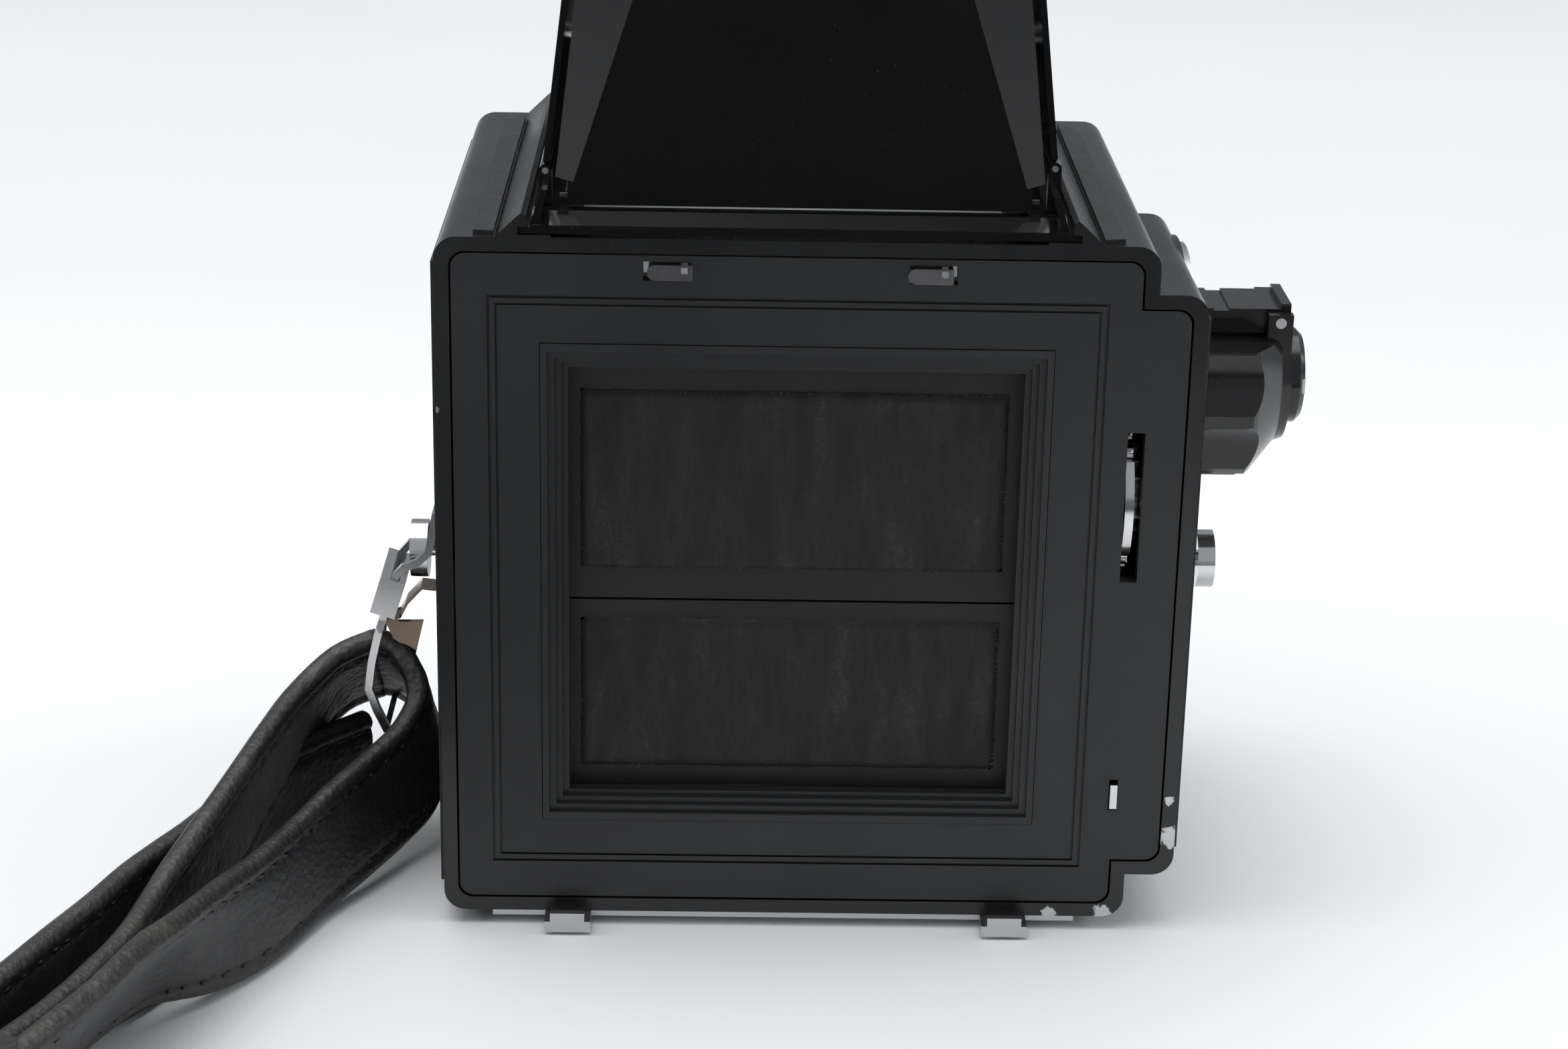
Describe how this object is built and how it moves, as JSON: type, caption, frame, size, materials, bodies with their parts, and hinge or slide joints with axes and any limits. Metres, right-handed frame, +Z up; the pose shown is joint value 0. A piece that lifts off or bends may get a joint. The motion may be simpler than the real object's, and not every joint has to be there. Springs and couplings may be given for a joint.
{
  "type": "medium format reflex camera body",
  "caption": "Modular square-format reflex camera body seen with its film back off, waist-level hood raised, side winder and leather neck strap.",
  "frame": {"origin": "mouth of the tripod socket under the body, on the surface the camera stands on", "axes": "+Z up, +Y out of the lens mount (away from the film gate), +X to the viewer's right, towards the winder"},
  "size_m": [0.1809, 0.2302, 0.16],
  "materials": {
    "shell_paint": "satin black paint, worn to bare metal on a few edges",
    "plate_paint": "matt dark grey crackle paint",
    "black_inside": "matt black anti-glare paint",
    "pad_felt": "black light-trap cloth",
    "hood_paint": "semi-gloss black paint",
    "bright_steel": "satin chrome",
    "pin_steel": "turned steel",
    "gear_brass": "cut brass",
    "spring_bronze": "spring bronze",
    "base_metal": "satin",
    "knob_black": "glossy black",
    "white_index": "white fill",
    "mirror": "front silvered",
    "lens_glass": "clear",
    "screen_glass": "finely ground",
    "leatherette": "grained black",
    "foot_rubber": "matt black",
    "strap_leather": "black, creased, stitched edges"
  },
  "bodies": {
    "camera_body": {"body_shell": "shell_paint", "rear_plate": "plate_paint", "gate_frame": "plate_paint", "mirror_box": "black_inside", "front_plate": "shell_paint", "mount_ring": "bright_steel", "mount_screws": "bright_steel", "release_collar": "bright_steel", "mirror_shaft": "pin_steel", "flap_pins": "pin_steel", "focusing_screen": "screen_glass", "screen_frame": "black_inside", "hood_base": "hood_paint", "hood_pins": "pin_steel", "shoulder_leather": "leatherette", "side_leather": "leatherette", "magazine_hooks": "bright_steel", "gear_posts": "pin_steel", "knob_base": "pin_steel", "base_plate": "base_metal", "rubber_feet": "foot_rubber", "tripod_plate": "base_metal", "base_screws": "bright_steel", "strap_lugs": "bright_steel", "clip_plate": "bright_steel", "clip_spring": "spring_bronze", "strap": "strap_leather", "strap_tail": "strap_leather", "strap_keeper": "strap_leather"},
    "mirror": {"mirror_frame": "black_inside", "mirror_glass": "mirror"},
    "upper_flap": {"upper_flap": "black_inside", "upper_pad": "pad_felt"},
    "lower_flap": {"lower_flap": "black_inside", "lower_pad": "pad_felt"},
    "winder": {"winding_shaft": "pin_steel", "winding_knob": "knob_black", "crank_cap": "knob_black", "crank_index": "white_index", "crank_pin": "pin_steel"},
    "crank": {"crank_arm": "knob_black"},
    "idler": {"idler_gear": "gear_brass"},
    "film_drive": {"drive_gear": "bright_steel"},
    "lens_drive": {"lens_drive_shaft": "bright_steel"},
    "release_button": {"shutter_release": "bright_steel"},
    "lens_lock": {"lens_release": "bright_steel"},
    "interlock": {"interlock_tab": "bright_steel"},
    "hood_rear": {"hood_rear_panel": "hood_paint"},
    "hood_left": {"hood_left_panel": "hood_paint"},
    "hood_right": {"hood_right_panel": "hood_paint"},
    "hood_lid": {"hood_lid": "hood_paint", "magnifier_pin": "pin_steel"},
    "lid_catch": {"hood_catch": "bright_steel"},
    "magnifier": {"magnifier_frame": "hood_paint", "magnifier_lens": "lens_glass"},
    "clip_slider": {"clip_slider": "bright_steel"},
    "second_slider": {"second_slider": "bright_steel"}
  },
  "joints": [
    {"name": "mirror_swing", "type": "hinge", "parent": "camera_body", "child": "mirror", "pos_m": [0, -0.0265, 0.0795], "axis": [1, 0, 0], "range_deg": [0, 45]},
    {"name": "upper_flap_swing", "type": "hinge", "parent": "camera_body", "child": "upper_flap", "pos_m": [0, -0.028, 0.0758], "axis": [1, 0, 0], "range_deg": [0, 90]},
    {"name": "lower_flap_swing", "type": "hinge", "parent": "camera_body", "child": "lower_flap", "pos_m": [0, -0.028, 0.0186], "axis": [1, 0, 0], "range_deg": [-90, 0]},
    {"name": "winding_turn", "type": "hinge", "parent": "camera_body", "child": "winder", "pos_m": [0.058, -0.004, 0.0669], "axis": [1, 0, 0], "continuous": true},
    {"name": "crank_fold", "type": "hinge", "parent": "winder", "child": "crank", "pos_m": [0.063, -0.004, 0.0758], "axis": [0, 1, 0], "range_deg": [0, 90]},
    {"name": "idler_turn", "type": "hinge", "parent": "camera_body", "child": "idler", "pos_m": [0.0429, -0.01357, 0.06244], "axis": [1, 0, 0], "continuous": true},
    {"name": "film_drive_turn", "type": "hinge", "parent": "camera_body", "child": "film_drive", "pos_m": [0.0429, -0.02416, 0.0575], "axis": [1, 0, 0], "continuous": true},
    {"name": "lens_drive_turn", "type": "hinge", "parent": "camera_body", "child": "lens_drive", "pos_m": [0.0222, 0.03, 0.0246], "axis": [0, 1, 0], "continuous": true},
    {"name": "release_press", "type": "slide", "parent": "camera_body", "child": "release_button", "axis": [0, -1, 0], "range_m": [0, 0.003], "stiffness_N_per_m": 100, "springref_m": -0.002},
    {"name": "lens_lock_press", "type": "slide", "parent": "camera_body", "child": "lens_lock", "axis": [0, -1, 0], "range_m": [0, 0.002], "stiffness_N_per_m": 200, "springref_m": -0.002},
    {"name": "interlock_press", "type": "slide", "parent": "camera_body", "child": "interlock", "axis": [0, 1, 0], "range_m": [0, 0.0015], "stiffness_N_per_m": 100, "springref_m": -0.002},
    {"name": "rear_panel_fold", "type": "hinge", "parent": "camera_body", "child": "hood_rear", "pos_m": [0, -0.0279, 0.0955], "axis": [1, 0, 0], "range_deg": [-90, 0], "stiffness_Nm_per_rad": 0.001, "springref_deg": 28.65},
    {"name": "left_panel_fold", "type": "hinge", "parent": "camera_body", "child": "hood_left", "pos_m": [-0.031, 0, 0.0986], "axis": [0, 1, 0], "range_deg": [0, 83], "stiffness_Nm_per_rad": 0.001, "springref_deg": -28.65},
    {"name": "right_panel_fold", "type": "hinge", "parent": "camera_body", "child": "hood_right", "pos_m": [0.031, 0, 0.0998], "axis": [0, 1, 0], "range_deg": [-83, 0], "stiffness_Nm_per_rad": 0.001, "springref_deg": 28.65},
    {"name": "lid_fold", "type": "hinge", "parent": "camera_body", "child": "hood_lid", "pos_m": [0, 0.0284, 0.1046], "axis": [1, 0, 0], "range_deg": [0, 90], "stiffness_Nm_per_rad": 0.003, "springref_deg": -28.65},
    {"name": "magnifier_swing", "type": "hinge", "parent": "hood_lid", "child": "magnifier", "pos_m": [0, 0.0284, 0.146], "axis": [1, 0, 0], "range_deg": [-90, 0]},
    {"name": "lid_catch_slide", "type": "slide", "parent": "hood_lid", "child": "lid_catch", "axis": [0, 0, -1], "range_m": [0, 0.002], "stiffness_N_per_m": 60, "springref_m": -0.002},
    {"name": "clip_slider_slide", "type": "slide", "parent": "camera_body", "child": "clip_slider", "axis": [-0.2974, 0, -0.9548], "range_m": [0, 0.001]},
    {"name": "second_slider_slide", "type": "slide", "parent": "camera_body", "child": "second_slider", "axis": [0.8721, 0.4894, 0], "range_m": [0, 0.001]}
  ],
  "couplings": [
    {"joint": "upper_flap_swing", "follows": "mirror_swing", "ratio": 2},
    {"joint": "lower_flap_swing", "follows": "mirror_swing", "ratio": -2},
    {"joint": "idler_turn", "follows": "winding_turn", "ratio": -0.86667},
    {"joint": "film_drive_turn", "follows": "winding_turn", "ratio": 0.8125},
    {"joint": "lens_drive_turn", "follows": "winding_turn", "ratio": 0.8}
  ]
}
